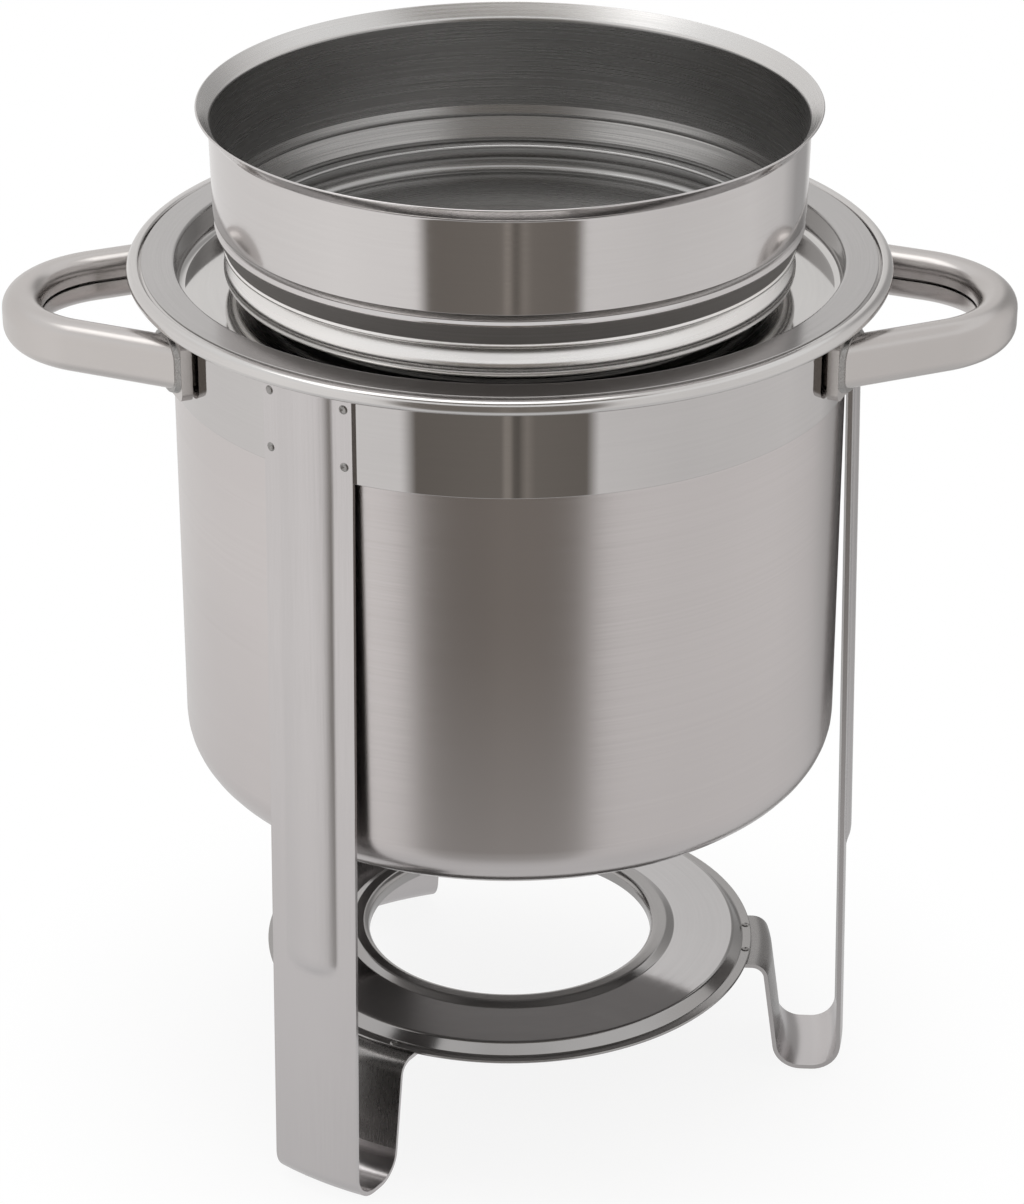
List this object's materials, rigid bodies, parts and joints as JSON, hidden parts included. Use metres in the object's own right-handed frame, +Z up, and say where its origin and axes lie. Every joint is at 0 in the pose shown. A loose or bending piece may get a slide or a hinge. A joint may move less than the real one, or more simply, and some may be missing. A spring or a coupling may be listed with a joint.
{
  "type": "soup kettle",
  "caption": "Round steel soup kettle hung by its rim in a legged stand with loop handles and a fuel ring, topped by a flanged tray and a shallow lift-out food pan.",
  "frame": {"origin": "on the kettle's axis at the level that the feet stand on", "axes": "+Z up along the kettle's axis, +X to the right handle, -Y to the front"},
  "size_m": [0.4, 0.3, 0.4244],
  "materials": {
    "brushed_steel": "fine horizontal brushing",
    "satin_flange": "satin flange and bright floor",
    "polished_pan": "polished outside, brushed inside",
    "base_disc": "dull base",
    "polished_collar": "mirror polish",
    "polished_ring": "mirror polish",
    "satin_leg": "satin with upright grain",
    "satin_handle": "satin",
    "weld_metal": "dull weld"
  },
  "bodies": {
    "stand": {"stand_collar": "polished_collar", "fuel_ring": "polished_ring", "ring_welds": "weld_metal", "leg_front_left": "satin_leg", "leg_right": "satin_leg", "leg_back_left": "satin_leg", "leg_welds_front_left": "weld_metal", "leg_welds_right": "weld_metal", "leg_welds_back_left": "weld_metal", "handle_left": "satin_handle", "handle_right": "satin_handle", "handle_welds_left": "weld_metal", "handle_welds_right": "weld_metal", "handle_plate_left_front": "satin_handle", "handle_plate_left_back": "satin_handle", "handle_plate_right_front": "satin_handle", "handle_plate_right_back": "satin_handle"},
    "kettle": {"kettle_body": "brushed_steel"},
    "tray": {"water_tray": "satin_flange"},
    "food_pan": {"food_pan": "polished_pan", "food_pan_base": "base_disc"}
  },
  "joints": [
    {"name": "kettle_lift", "type": "slide", "parent": "stand", "child": "kettle", "axis": [0, 0, 1], "range_m": [0, 0.26]},
    {"name": "tray_lift", "type": "slide", "parent": "kettle", "child": "tray", "axis": [0, 0, 1], "range_m": [0, 0.06]},
    {"name": "food_pan_lift", "type": "slide", "parent": "tray", "child": "food_pan", "axis": [0, 0, 1], "range_m": [0, 0.08]}
  ]
}
